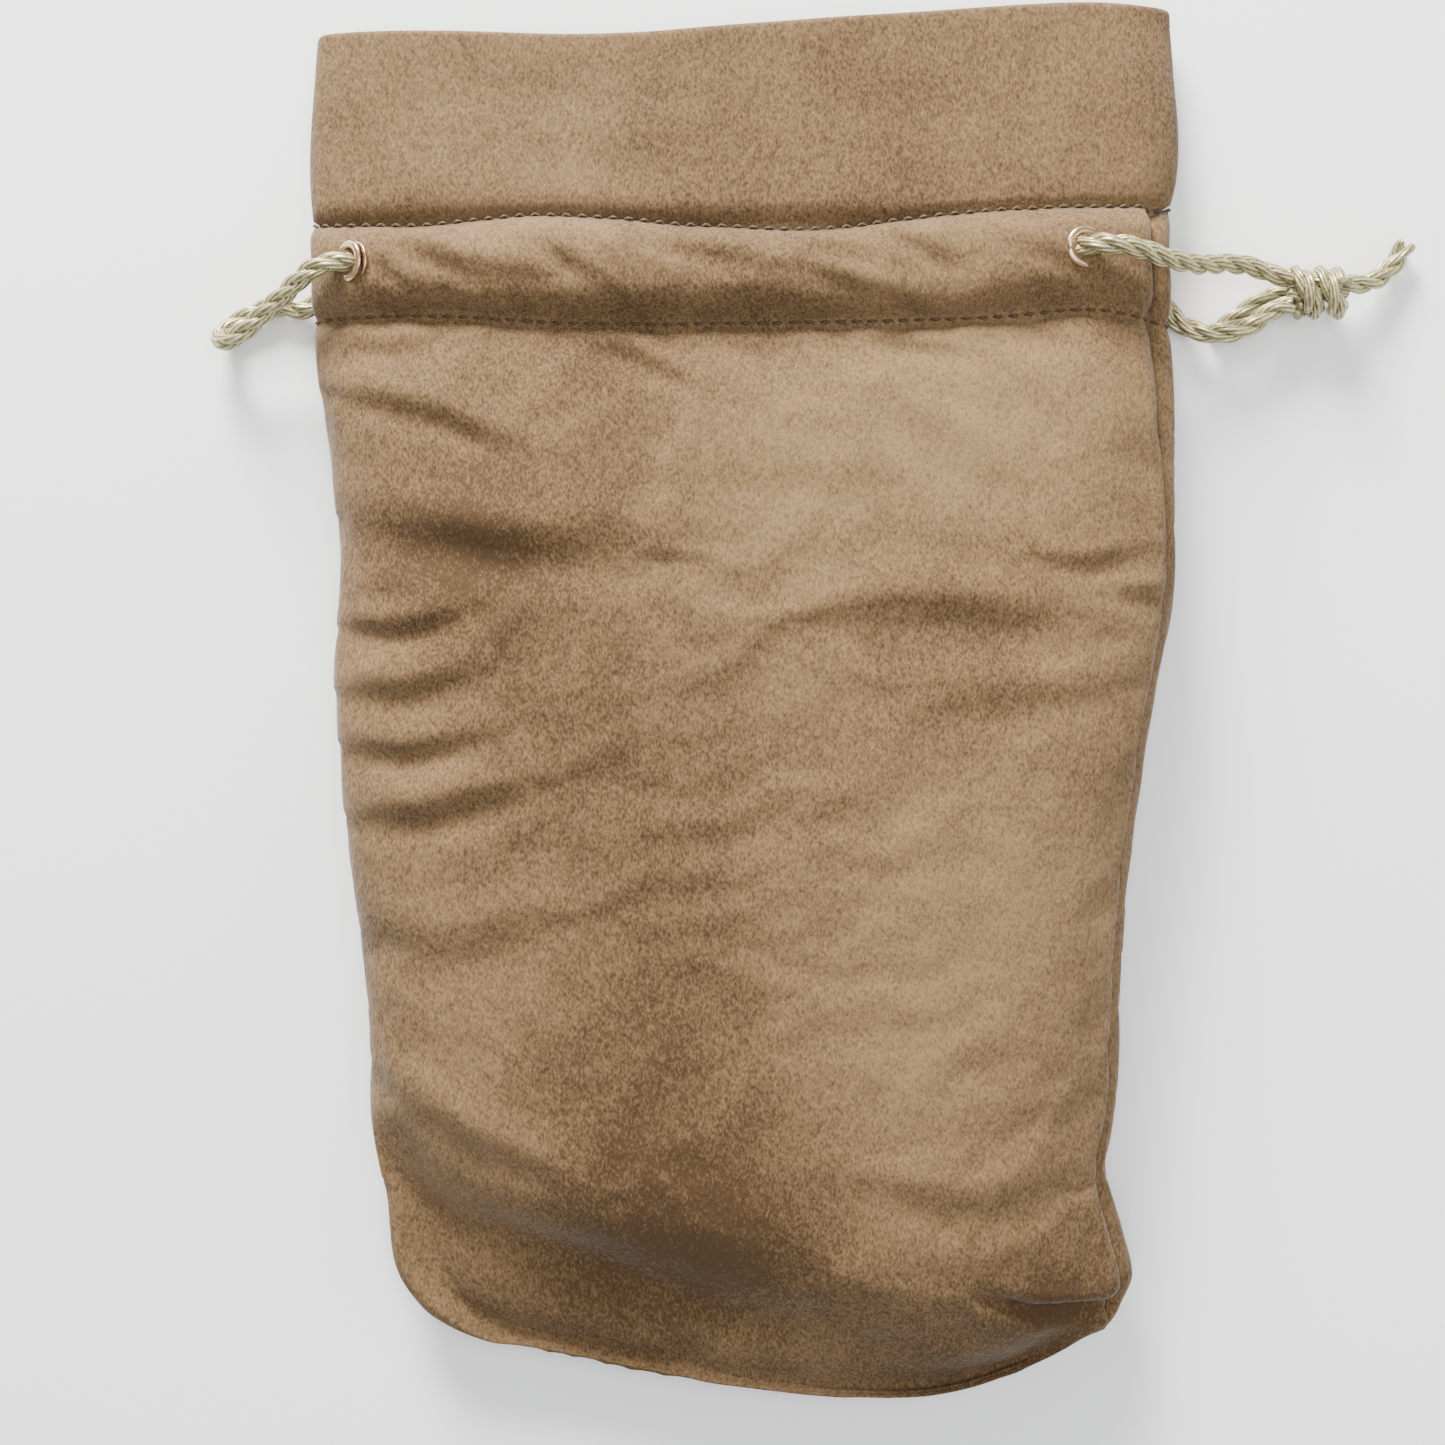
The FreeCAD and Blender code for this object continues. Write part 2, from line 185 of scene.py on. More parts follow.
def splinePoints(name, points):
    # the smooth line through a route, read from its own spline
    curve = bpy.data.curves.new(name + "Line", "CURVE")
    curve.dimensions = "3D"
    spline = curve.splines.new("NURBS")
    spline.points.add(len(points) - 1)
    for point, place in zip(spline.points, points):
        point.co = (place[0] * mm, place[1] * mm, place[2] * mm, 1.0)
    spline.order_u = 3
    spline.use_endpoint_u = True
    spline.resolution_u = 24
    holder = bpy.data.objects.new(name + "Line", curve)
    mesh = bpy.data.meshes.new_from_object(holder)
    line = np.array([vertex.co for vertex in mesh.vertices]) / mm
    bpy.data.objects.remove(holder)
    bpy.data.curves.remove(curve)
    bpy.data.meshes.remove(mesh)
    return line


def evenly(line, step):
    lengths = np.concatenate([[0], np.cumsum(np.linalg.norm(np.diff(line, axis=0), axis=1))])
    count = max(4, int(round(lengths[-1] / step)))
    places = np.linspace(0, lengths[-1], count + 1)
    return np.stack([np.interp(places, lengths, line[:, k]) for k in range(3)], axis=1), places


def carriedFrames(line):
    # tangents, and a normal carried along the line without twisting
    tangents = np.gradient(line, axis=0)
    tangents /= np.linalg.norm(tangents, axis=1)[:, None]
    normal = np.cross(tangents[0], (0.0, 0.0, 1.0))
    if np.linalg.norm(normal) < 0.1:
        normal = np.cross(tangents[0], (0.0, 1.0, 0.0))
    normals = []
    for tangent in tangents:
        normal = normal - tangent * normal.dot(tangent)
        normal = normal / np.linalg.norm(normal)
        normals.append(normal)
    normals = np.array(normals)
    return tangents, normals, np.cross(tangents, normals)


def strandTube(line, radii, sides, turnAlong):
    # a tube with rounded ends and a map that turns as its yarn does
    tangents, normals, sideways = carriedFrames(line)
    angles = np.linspace(0, 2 * math.pi, sides, endpoint=False)
    rings = (
        line[:, None, :]
        + radii[:, None, None] * np.cos(angles)[None, :, None] * normals[:, None, :]
        + radii[:, None, None] * np.sin(angles)[None, :, None] * sideways[:, None, :]
    )
    vertices = rings.reshape(-1, 3)
    faces, uvs = [], []
    for ring in range(len(line) - 1):
        for side in range(sides):
            after = (side + 1) % sides
            a, b = ring * sides + side, ring * sides + after
            faces.append((a, b, b + sides, a + sides))
            u1, u2 = side / sides, (side + 1) / sides
            v1, v2 = turnAlong[ring], turnAlong[ring + 1]
            uvs.append(((u1, v1), (u2, v1), (u2, v2), (u1, v2)))
    for ring, inward in ((0, True), (len(line) - 1, False)):
        loop = [ring * sides + side for side in range(sides)]
        faces.append(tuple(reversed(loop)) if inward else tuple(loop))
        uvs.append(tuple((0.5, turnAlong[ring]) for _ in loop))
    return vertices, faces, uvs


def meshPiece(name, parts, material):
    # one object from several lists of vertices, faces and face maps, in millimetres
    vertices, faces, uvs, first = [], [], [], 0
    for partVertices, partFaces, partUvs in parts:
        vertices.extend((np.asarray(partVertices) * mm).tolist())
        faces.extend([tuple(first + index for index in face) for face in partFaces])
        uvs.extend(partUvs)
        first += len(partVertices)
    mesh = bpy.data.meshes.new(name)
    mesh.from_pydata(vertices, [], faces)
    layer = mesh.uv_layers.new(name="wrap")
    layer.data.foreach_set("uv", np.array([uv for face in uvs for uv in face], float).ravel())
    mesh.update()
    piece = bpy.data.objects.new(name, mesh)
    scene.collection.objects.link(piece)
    mesh.materials.append(material)
    mesh.polygons.foreach_set("use_smooth", [True] * len(mesh.polygons))
    return piece


def twistedCord(
    name, line, material, phase=0.0, flareEnd=False, step=cordShape["step"], sides=cordShape["sides"],
):
    # three plies laid round one line, spreading at a cut end
    line, places = evenly(line, step)
    tangents, normals, sideways = carriedFrames(line)
    parts = []
    for ply in range(cordShape["plies"]):
        turn = phase + 2 * math.pi * (places / cordShape["pitch"] + ply / cordShape["plies"])
        spread = np.full(len(line), cordShape["helixRadius"])
        radii = np.full(len(line), cordShape["plyRadius"])
        if flareEnd:
            flare = np.clip((places - places[-1] + cordShape["flareLength"]) / cordShape["flareLength"], 0, 1)
            spread = spread * (1 + cordShape["flareSpread"] * flare ** 2)
            radii = radii * (1 - cordShape["flareThin"] * flare)
        wander = 1 + cordShape["wander"] * np.sin(places * 0.9 + ply * 2.1 + phase)
        across = (spread * np.cos(turn))[:, None] * normals
        upright = (spread * np.sin(turn))[:, None] * sideways
        parts.append(strandTube(line + across + upright, radii * wander, sides, places / 3.0 + ply * 3.7))
    return meshPiece(name, parts, material)


# finishes

suedeLook = {
    "light": (0.196, 0.122, 0.058), "dark": (0.058, 0.031, 0.011), "sheen": 0.12, "sheenRoughness": 0.45,
}
backingLook = {"light": (0.150, 0.094, 0.046), "dark": (0.078, 0.046, 0.020)}
brassLook = {"bright": (0.80, 0.57, 0.38), "worn": (0.50, 0.32, 0.19)}
# cord colours: the yarn's own gold and olive, mixed with painted shade between the fine yarns and painted
# glints
cordLook = {"bright": (0.60, 0.53, 0.30), "shade": (0.085, 0.072, 0.024), "metallic": 0.5}
# sewing thread colours, mixed the same way with painted shade in its twist and painted glints
threadLook = {"light": (0.090, 0.050, 0.020), "dark": (0.026, 0.013, 0.005)}


# scale, detail and weight in the colour of each size of mark in the pile
napMarks = {
    "patches": (26.0, 4.0, 0.8),
    "smudges": (110.0, 5.0, 0.45),
    "tufts": (850.0, 3.0, 0.8),
    "fibres": (2100.0, 2.0, 1.7),
}
napShape = {
    "stretch": (1.0, 0.55, 1.0), "lean": (0.0, 0.0, 0.5), "layAndShade": 0.5, "middle": 0.5,
    "tuftHeight": 0.7, "fibreHeight": 0.3, "roughSpread": 0.2, "roughLeast": 0.74,
    "bump": 0.85, "bumpDepth": 0.0005, "specular": 0.2,
}
yarnShape = {
    "glintScale": 1800.0, "glintDetail": 2.0, "grooveShadeShare": 0.30, "glintShare": 1.1, "roughSpread": 0.2,
    "bump": 0.8,
}


def newMaterial(name):
    material = bpy.data.materials.new(name)
    material.use_nodes = True
    tree = material.node_tree
    return material, tree, tree.nodes["Principled BSDF"]


def noiseNode(tree, scale, detail, place):
    node = tree.nodes.new("ShaderNodeTexNoise")
    node.inputs["Scale"].default_value = scale
    node.inputs["Detail"].default_value = detail
    tree.links.new(place, node.inputs["Vector"])
    return node.outputs["Fac"]


def sums(tree, operation, first, second):
    node = tree.nodes.new("ShaderNodeMath")
    node.operation = operation
    for socket, value in zip(node.inputs, (first, second)):
        if isinstance(value, (int, float)):
            socket.default_value = value
        else:
            tree.links.new(value, socket)
    return node.outputs[0]


def blendColours(tree, share, first, second):
    node = tree.nodes.new("ShaderNodeMix")
    node.data_type = "RGBA"
    tree.links.new(share, node.inputs[0])
    for socket, value in ((node.inputs[6], first), (node.inputs[7], second)):
        if isinstance(value, tuple):
            socket.default_value = (*value, 1.0)
        else:
            tree.links.new(value, socket)
    return node.outputs[2]


def newGroup(title, inputs, outputs):
    group = bpy.data.node_groups.new(title, "ShaderNodeTree")
    for direction, sockets in (("INPUT", inputs), ("OUTPUT", outputs)):
        for name, kind in sockets:
            group.interface.new_socket(name=name, in_out=direction, socket_type="NodeSocket" + kind)
    return group, group.nodes.new("NodeGroupInput"), group.nodes.new("NodeGroupOutput")


def addBump(tree, shader, height, strength, distance):
    bump = tree.nodes.new("ShaderNodeBump")
    bump.inputs["Strength"].default_value = strength
    bump.inputs["Distance"].default_value = distance
    tree.links.new(height, bump.inputs["Height"])
    tree.links.new(bump.outputs["Normal"], shader.inputs["Normal"])


def makeNapAndShadeGroup():
    # short brushed pile: soft patches, streaks and single fibres, plus painted shade in the folds, creases
    # and base bend from the painted attribute
    group, entry, leave = newGroup(
        "brushedNapAndShade", (("Light", "Color"), ("Dark", "Color"), ("LayAndShade", "Float")),
        (("Colour", "Color"), ("Pile", "Float"), ("Rough", "Float")),
    )
    place = group.nodes.new("ShaderNodeTexCoord").outputs["Object"]
    stretch = group.nodes.new("ShaderNodeMapping")
    stretch.inputs["Scale"].default_value = napShape["stretch"]
    stretch.inputs["Rotation"].default_value = napShape["lean"]
    group.links.new(place, stretch.inputs["Vector"])
    drawn = stretch.outputs["Vector"]
    marks = {}
    share = 0.0
    for name, where in (("patches", place), ("smudges", place), ("tufts", drawn), ("fibres", drawn)):
        scale, detail, weight = napMarks[name]
        marks[name] = noiseNode(group, scale, detail, where)
        centred = sums(group, "SUBTRACT", marks[name], napShape["middle"])
        share = sums(group, "ADD", share, sums(group, "MULTIPLY", centred, weight))
    # painted shade: the painted attribute darkens the folds, creases and base bend here, along with the
    # brushed nap
    share = sums(group, "ADD", share, sums(group, "MULTIPLY", entry.outputs["LayAndShade"], napShape["layAndShade"]))
    share = sums(group, "ADD", share, napShape["middle"])
    clamp = group.nodes.new("ShaderNodeClamp")
    group.links.new(share, clamp.inputs["Value"])
    colour = blendColours(group, clamp.outputs[0], entry.outputs["Dark"], entry.outputs["Light"])
    group.links.new(colour, leave.inputs["Colour"])
    tall = sums(group, "MULTIPLY", marks["tufts"], napShape["tuftHeight"])
    short = sums(group, "MULTIPLY", marks["fibres"], napShape["fibreHeight"])
    group.links.new(sums(group, "ADD", tall, short), leave.inputs["Pile"])
    rough = sums(group, "MULTIPLY", marks["smudges"], napShape["roughSpread"])
    group.links.new(sums(group, "ADD", rough, napShape["roughLeast"]), leave.inputs["Rough"])
    return group


def makeSuede(name, look, group, sheen):
    material, tree, shader = newMaterial(name)
    napAndShade = tree.nodes.new("ShaderNodeGroup")
    napAndShade.node_tree = group
    napAndShade.inputs["Light"].default_value = (*look["light"], 1.0)
    napAndShade.inputs["Dark"].default_value = (*look["dark"], 1.0)
    # the painted attribute: brushed nap, and painted shade in the folds, creases and along the base bend
    layAndShade = tree.nodes.new("ShaderNodeAttribute")
    layAndShade.attribute_name = "napAndShade"
    tree.links.new(layAndShade.outputs["Fac"], napAndShade.inputs["LayAndShade"])
    tree.links.new(napAndShade.outputs["Colour"], shader.inputs["Base Color"])
    tree.links.new(napAndShade.outputs["Rough"], shader.inputs["Roughness"])
    addBump(tree, shader, napAndShade.outputs["Pile"], napShape["bump"], napShape["bumpDepth"])
    shader.inputs["Specular IOR Level"].default_value = napShape["specular"]
    shader.inputs["Sheen Weight"].default_value = sheen
    shader.inputs["Sheen Roughness"].default_value = suedeLook["sheenRoughness"]
    return material


def makeBrass():
    material, tree, shader = newMaterial("roseBrass")
    place = tree.nodes.new("ShaderNodeTexCoord").outputs["Object"]
    wear = noiseNode(tree, 900.0, 4.0, place)
    colour = blendColours(tree, wear, brassLook["worn"], brassLook["bright"])
    tree.links.new(colour, shader.inputs["Base Color"])
    rough = sums(tree, "ADD", sums(tree, "MULTIPLY", wear, 0.25), 0.16)
    tree.links.new(rough, shader.inputs["Roughness"])
    shader.inputs["Metallic"].default_value = 1.0
    return material


def makeYarnGroup():
    # fine yarns that run round each ply, with painted shade in the grooves between them and painted glints
    # along them
    group, entry, leave = newGroup(
        "spunYarn", (("Bright", "Color"), ("Shade", "Color"), ("Turns", "Float")),
        (("Colour", "Color"), ("Wave", "Float"), ("Glint", "Float")),
    )
    wrap = group.nodes.new("ShaderNodeUVMap")
    wrap.uv_map = "wrap"
    split = group.nodes.new("ShaderNodeSeparateXYZ")
    group.links.new(wrap.outputs["UV"], split.inputs[0])
    around = sums(group, "MULTIPLY", split.outputs[0], entry.outputs["Turns"])
    lines = sums(group, "ADD", around, split.outputs[1])
    wave = sums(group, "SINE", sums(group, "MULTIPLY", lines, 2 * math.pi), 0.0)
    place = group.nodes.new("ShaderNodeTexCoord").outputs["Object"]
    glint = noiseNode(group, yarnShape["glintScale"], yarnShape["glintDetail"], place)
    # painted shade darkens the colour in the grooves between the fine yarns, and the glint noise paints
    # glints on them
    grooveShade = sums(group, "MULTIPLY", wave, yarnShape["grooveShadeShare"])
    share = sums(group, "ADD", grooveShade, sums(group, "MULTIPLY", glint, yarnShape["glintShare"]))
    clamp = group.nodes.new("ShaderNodeClamp")
    group.links.new(share, clamp.inputs["Value"])
    colour = blendColours(group, clamp.outputs[0], entry.outputs["Shade"], entry.outputs["Bright"])
    group.links.new(colour, leave.inputs["Colour"])
    group.links.new(wave, leave.inputs["Wave"])
    group.links.new(glint, leave.inputs["Glint"])
    return group


def makeYarn(name, group, bright, shade, metallic, rough, turns, depth):
    material, tree, shader = newMaterial(name)
    spun = tree.nodes.new("ShaderNodeGroup")
    spun.node_tree = group
    spun.inputs["Bright"].default_value = (*bright, 1.0)
    spun.inputs["Shade"].default_value = (*shade, 1.0)
    spun.inputs["Turns"].default_value = turns
    tree.links.new(spun.outputs["Colour"], shader.inputs["Base Color"])
    addBump(tree, shader, spun.outputs["Wave"], yarnShape["bump"], depth)
    shader.inputs["Metallic"].default_value = metallic
    spread = sums(tree, "MULTIPLY", spun.outputs["Glint"], yarnShape["roughSpread"])
    tree.links.new(sums(tree, "ADD", spread, rough), shader.inputs["Roughness"])
    return material


napAndShadeGroup = makeNapAndShadeGroup()
suede = makeSuede("suede", suedeLook, napAndShadeGroup, suedeLook["sheen"])
backing = makeSuede("suedeBacking", backingLook, napAndShadeGroup, 0.1)
brass = makeBrass()
yarnGroup = makeYarnGroup()
yarn = makeYarn(
    "metallicYarn", yarnGroup, cordLook["bright"], cordLook["shade"], cordLook["metallic"], 0.24, 7.0, 0.0001,
)
sewing = makeYarn("sewingThread", yarnGroup, threadLook["light"], threadLook["dark"], 0.0, 0.6, 3.0, 0.00004)
print("finishes ready")


def makeCords():
    knotPieces = []
    wraps = []
    for strand in range(2):
        points = []
        for index in range(knotShape["points"] + 1):
            share = index / knotShape["points"]
            angle = 2 * math.pi * knotShape["turns"] * share + math.pi * strand
            points.append((
                knotShape["start"] + knotShape["length"] * share + knotShape["strandGap"] * strand,
                knotShape["centreY"] + knotShape["radius"] * math.cos(angle),
                knotShape["centreZ"] + knotShape["radius"] * math.sin(angle),
            ))
        wraps.append(splinePoints("knotWrap" + str(strand), points))
    wraps.append(splinePoints("knotCore", knotShape["core"]))
    for index, line in enumerate(wraps):
        phase = index * knotShape["partPhase"]
        knotPieces.append(twistedCord("knotPart" + str(index), line, yarn, phase=phase))
    for name, route in (("tail", tailRoute), ("tuckedTail", tuckedTailRoute)):
        phase = knotShape[name + "Phase"]
        knotPieces.append(twistedCord(name, splinePoints(name, route), yarn, phase, True))
    deselectAll()
    for piece in knotPieces:
        piece.select_set(True)
    bpy.context.view_layer.objects.active = knotPieces[0]
    bpy.ops.object.join()
    knot = knotPieces[0]
    knot.name = "cordKnot"
    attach(knot, "knot_end")
    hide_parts("pull_knot", "pull_tail", "pull_tail_tucked")
    runs = (
        ("frontRunCord", frontRunRoute, "drawstring_front_run"),
        ("backRunCord", backRunRoute, "drawstring_back_run"),
    )
    for name, route, node in runs:
        line = splinePoints(name, route)
        run = twistedCord(name, line, yarn, step=cordShape["hiddenStep"], sides=cordShape["hiddenSides"])
        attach(run, "pouch")
        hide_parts(node)
    free = (
        ("loopCord", loopRoute, ("loop_front_strand", "loop_tip", "loop_back_strand"), "loop_end",
         (-80, 86, 10), (-103, 74, 8), (-78.4, 86.8, 17.6), "object"),
        ("pullFrontCord", pullFrontRoute, ("pull_front_strand",), "knot_end",
         (70, 89, 20), (108, 85, 7), (67.0, 89.2, 19.8), "knot"),
        ("pullBackCord", pullBackRoute, ("pull_back_strand",), "knot_end",
         (83, 83, 4), (108, 79.6, 7), (80.5, 84.5, 5.0), "knot"),
    )
    for name, route, nodes, body, start, end, exitPlace, farEnd in free:
        line = splinePoints(name, route)
        piece = twistedCord(name, line, yarn)
        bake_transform(piece)
        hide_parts(*nodes)


makeCords()
print("cords ready")

# cloth: the shape of the pouch, in millimetres, looking down on it

pouch = {
    "left": (
        (-124, -64.0), (-116, -69.0), (-100, -71.4), (-80, -74.4), (-70, -74.0), (-52, -76.0), (-22, -79.4),
        (2, -81.6), (26, -81.0), (50, -83.4), (74, -86.8), (92, -87.0), (104, -88.0), (128, -87.0),
        (136, -86.4),
    ),
    "right": (
        (-124, 77.0), (-116, 78.4), (-106, 75.8), (-94, 72.8), (-80, 74.6), (-58, 75.6), (-22, 79.2),
        (2, 83.0), (20, 86.2), (56, 86.6), (80, 86.0), (98, 86.2), (104, 87.6), (128, 87.2), (136, 86.6),
    ),
    "top": ((-88, 134.6), (-60, 134.0), (-29, 133.4), (3, 135.6), (43, 138.4), (65, 139.8), (88, 139.8)),
    "base": (
        (-88, -118.0), (-72, -118.0), (-65, -122.5), (-55, -127.6), (-39, -131.2), (-7, -136.6), (25, -139.8),
        (38, -139.8), (50, -136.8), (66, -129.4), (78, -124.0), (88, -123.0),
    ),
    "upperStitch": ((-88, 95.6), (-66, 95.0), (-45, 96.8), (-9, 95.0), (9, 94.2), (51, 98.0), (88, 99.0)),
    "lowerStitch": ((-88, 76.0), (-60, 76.0), (-37, 74.8), (11, 74.8), (51, 76.0), (71, 77.4), (88, 75.0)),
    "height": (
        (-140, 19.0), (-105, 24.6), (-62, 26.4), (0, 25.6), (39, 22.8), (66, 19.0), (72, 17.0), (75.6, 15.6),
        (79.6, 19.4), (85.6, 20.6), (91.6, 19.4), (95.6, 15.6), (100, 15.4), (118, 14.6), (140, 13.4),
    ),
    "seamShare": 0.45,
    "cornerReach": 28.0,
    "baseRound": 11.0,
    "rightSeamUp": 6.5,
    "leftSeamDown": 1.5,
    "spacing": 1.3,
    "thickness": 1.1,
    "halfGirth": 190.0,
    "cornerSteps": 40,
    "flatSteps": 58,
    "lowest": 0.08,
}
# darts of shadow across the cloth: route, half width and height of each fold
folds = (
    (((-78, 95), (-68, 91), (-54, 85), (-40, 84)), 3.0, 1.3),
    (((-74, 89), (-64, 80)), 2.2, 0.8),
    (((-41, 97), (-38, 89), (-28, 83)), 2.4, 1.2),
    (((-22, 93), (-5, 88), (5, 86)), 2.6, 1.2),
    (((0, 95), (15, 90), (24, 88)), 2.2, 0.9),
    (((12, 85), (28, 80), (39, 76)), 2.6, 1.2),
    (((20, 96), (33, 91), (42, 86)), 2.4, 1.1),
    (((50, 92), (66, 86), (80, 80)), 2.6, 0.8),
    (((-80, 71), (-60, 70)), 2.6, 0.9),
    (((-32, 72.5), (-22, 69), (-11, 63)), 2.8, 1.6),
    (((-6, 74), (4, 69)), 2.2, 0.8),
    (((26, 74), (36, 70), (44, 69)), 2.2, 0.8),
    (((-80, 61), (-60, 56), (-44, 49)), 3.4, 1.6),
    (((-79, 36), (-52, 31), (-22, 29)), 6.5, 1.9),
    (((-79, 15), (-68, 14), (-54, 17)), 3.0, 1.5),
    (((-79, 2), (-66, 2), (-52, 5)), 3.4, 1.6),
    (((-79, -9), (-66, -10), (-50, -7)), 3.2, 1.4),
    (((-78, -23), (-62, -22), (-42, -17)), 4.2, 1.7),
    (((-76, -45), (-58, -48), (-40, -44)), 6.0, 1.0),
    (((58, 28), (66, 27), (76, 29)), 2.6, 0.9),
    (((72, 21), (80, 21), (86, 23)), 2.6, 1.3),
    (((14, 16), (38, 18), (66, 14)), 6.0, 0.9),
    (((38, 1), (54, 0), (72, 3)), 5.0, 0.7),
    (((-74, -72), (-52, -86), (-28, -95)), 4.5, 1.3),
    (((-66, -98), (-42, -104), (-18, -110)), 6.0, 1.4),
    (((22, -92), (40, -98), (62, -96)), 5.5, 0.8),
    (((-60, 113), (-30, 110), (0, 112)), 6.0, 0.7),
    (((8, 118), (36, 122), (62, 117)), 6.0, 0.6),
)
# the bend from the front into the boxed base: its line, its width and its drop
baseBend = {
    "line": ((-74, -84), (-60, -93), (-40, -102), (-20, -108), (0, -115), (22, -123), (46, -128), (80, -126)),
    "width": 20.0,
    "drop": 8.5,
}
cornerCrease = {"line": ((42, -116), (57, -121), (72, -122), (79, -118)), "width": 1.8, "depth": 4.6}
pucker = {
    "reach": 7.0, "depth": 0.55, "wave": 6.5, "groove": 1.15, "grooveWidth": 1.3, "clear": 1.6,
    "drawnOut": (1.0, 0.12, 0.12), "seedStep": 3.1, "seed": 7,
}
# depth and width of the groove down each side seam
sideGroove = {"right": (2.8, 1.9), "left": (0.7, 1.7)}
# height, scale and seed of the unevenness, and where it fades out
relief = {
    "broad": (0.55, 24.0, 3.3), "fine": (0.22, 9.0, 9.1), "calm": 3.0, "fade": 5.0, "backShare": 0.45,
    "roundFrom": 9.0, "roundOver": 8.0, "sideOver": 20.0,
}
clothSim = {
    "frames": 12, "quality": 5, "grow": -0.006, "mass": 0.12, "bend": 1.2, "push": 0.8, "most": 0.6,
    "tension": 12.0, "compression": 8.0, "shear": 6.0, "loose": 0.06,
}


def along(points, places):
    # smooth values between listed points
    xs = np.array([point[0] for point in points], float)
    ys = np.array([point[1] for point in points], float)
    slopes = np.gradient(ys, xs)
    index = np.clip(np.searchsorted(xs, places) - 1, 0, len(xs) - 2)
    span = xs[index + 1] - xs[index]
    share = np.clip((places - xs[index]) / span, 0.0, 1.0)
    a = 2 * share ** 3 - 3 * share ** 2 + 1
    b = share ** 3 - 2 * share ** 2 + share
    c = -2 * share ** 3 + 3 * share ** 2
    d = share ** 3 - share ** 2
    return a * ys[index] + b * span * slopes[index] + c * ys[index + 1] + d * span * slopes[index + 1]


def smooth(value):
    value = np.clip(value, 0.0, 1.0)
    return value * value * (3 - 2 * value)


nominal = {"mouth": 140.0, "upper": 95.6, "lower": 75.6, "base": -140.0}


def warped(xs, y):
    # where a straight row really runs, between the swaying stitch lines and the bowed edges
    knots = np.array([nominal["base"], nominal["lower"], nominal["upper"], nominal["mouth"]])
    lines = [along(pouch[name], xs) for name in ("base", "lowerStitch", "upperStitch", "top")]
    index = int(np.clip(np.searchsorted(knots, y) - 1, 0, 2))
    share = (y - knots[index]) / (knots[index + 1] - knots[index])
    return lines[index] + share * (lines[index + 1] - lines[index])


def outline(y, edgeShare, inset):
    # the closed line across the pouch, from the left seam over the top and back below
    left, right = along(pouch["left"], y), along(pouch["right"], y)
    top = along(pouch["height"], y)
    seam = pouch["seamShare"] * top
    reach = pouch["cornerReach"]
    turn = np.linspace(0, math.pi / 2, pouch["cornerSteps"])
    flatSteps = pouch["flatSteps"]
    upper = max((top - seam) * edgeShare - inset, 0.02)
    lower = max(seam * edgeShare - inset, 0.02)
    side = reach - inset
    leftIn, rightIn = left + reach, right - reach
    flat = np.linspace(leftIn, rightIn, flatSteps + 2)[1:-1]
    xs = np.concatenate([
        leftIn - side * np.cos(turn), flat, rightIn + side * np.sin(turn),
        (rightIn + side * np.sin(turn))[::-1][1:], flat[::-1], (leftIn - side * np.cos(turn))[::-1],
    ])
    zs = np.concatenate([
        seam + upper * np.sin(turn), np.full(flatSteps, seam + upper), seam + upper * np.cos(turn),
        seam - lower * np.cos(turn)[::-1][1:], np.full(flatSteps, seam - lower),
        seam - lower * np.sin(turn)[::-1],
    ])
    lengths = np.concatenate([[0], np.cumsum(np.hypot(np.diff(xs), np.diff(zs)))])
    return xs, zs, lengths


def rowPoints(y, places, edgeShare=1.0, inset=0.0):
    # points of a row, at shares of the way over the top (0 to 1) and back below (1 to 2)
    xs, zs, lengths = outline(y, edgeShare, inset)
    half = lengths[2 * pouch["cornerSteps"] + pouch["flatSteps"] - 1]
    distances = np.where(places <= 1, places * half, half + (places - 1) * (lengths[-1] - half))
    distances = np.mod(distances, lengths[-1])
    px, pz = np.interp(distances, lengths, xs), np.interp(distances, lengths, zs)
    py = warped(px, y)
    left, right = along(pouch["left"], py), along(pouch["right"], py)
    left0, right0 = along(pouch["left"], y), along(pouch["right"], y)
    px = left + (px - left0) * (right - left) / (right0 - left0)
    return np.stack([px, py, pz], axis=1)


def rowPlan(spacing):
    # place and roundness of each row, from the upper stitch line to the base seam
    casingRows = int(round((nominal["upper"] - nominal["lower"]) / spacing))
    foot = nominal["base"] + pouch["baseRound"]
    bodyRows = int(round((nominal["lower"] - foot) / spacing))
    rows = []
    for first, last, count in (
        (nominal["upper"], nominal["lower"], casingRows), (nominal["lower"], foot, bodyRows),
    ):
        rows += [(first + (last - first) * k / count, 1.0) for k in range(count)]
    for angle in np.linspace(0, math.pi / 2, 12):
        rows.append((foot - pouch["baseRound"] * math.sin(angle), math.cos(angle)))
    return rows, casingRows


def panelGrid(upper, spacing):
    rows, casingRows = rowPlan(spacing)
    columns = int(round(pouch["halfGirth"] / spacing))
    seamLeft = -pouch["leftSeamDown"] / pouch["halfGirth"]
    seamRight = 1.0 - pouch["rightSeamUp"] / pouch["halfGirth"]
    if upper:
        places = np.linspace(seamLeft, seamRight, columns)
    else:
        places = np.linspace(seamRight, 2.0 + seamLeft, columns)
    places = np.mod(places, 2.0)
    grid = np.array([rowPoints(y, places, share) for y, share in rows])
    return grid, casingRows


def gridNormals(grid):
    down, across = np.gradient(grid, axis=0), np.gradient(grid, axis=1)
    normals = np.cross(down, across)
    normals /= np.linalg.norm(normals, axis=2)[:, :, None] + 1e-9
    return normals


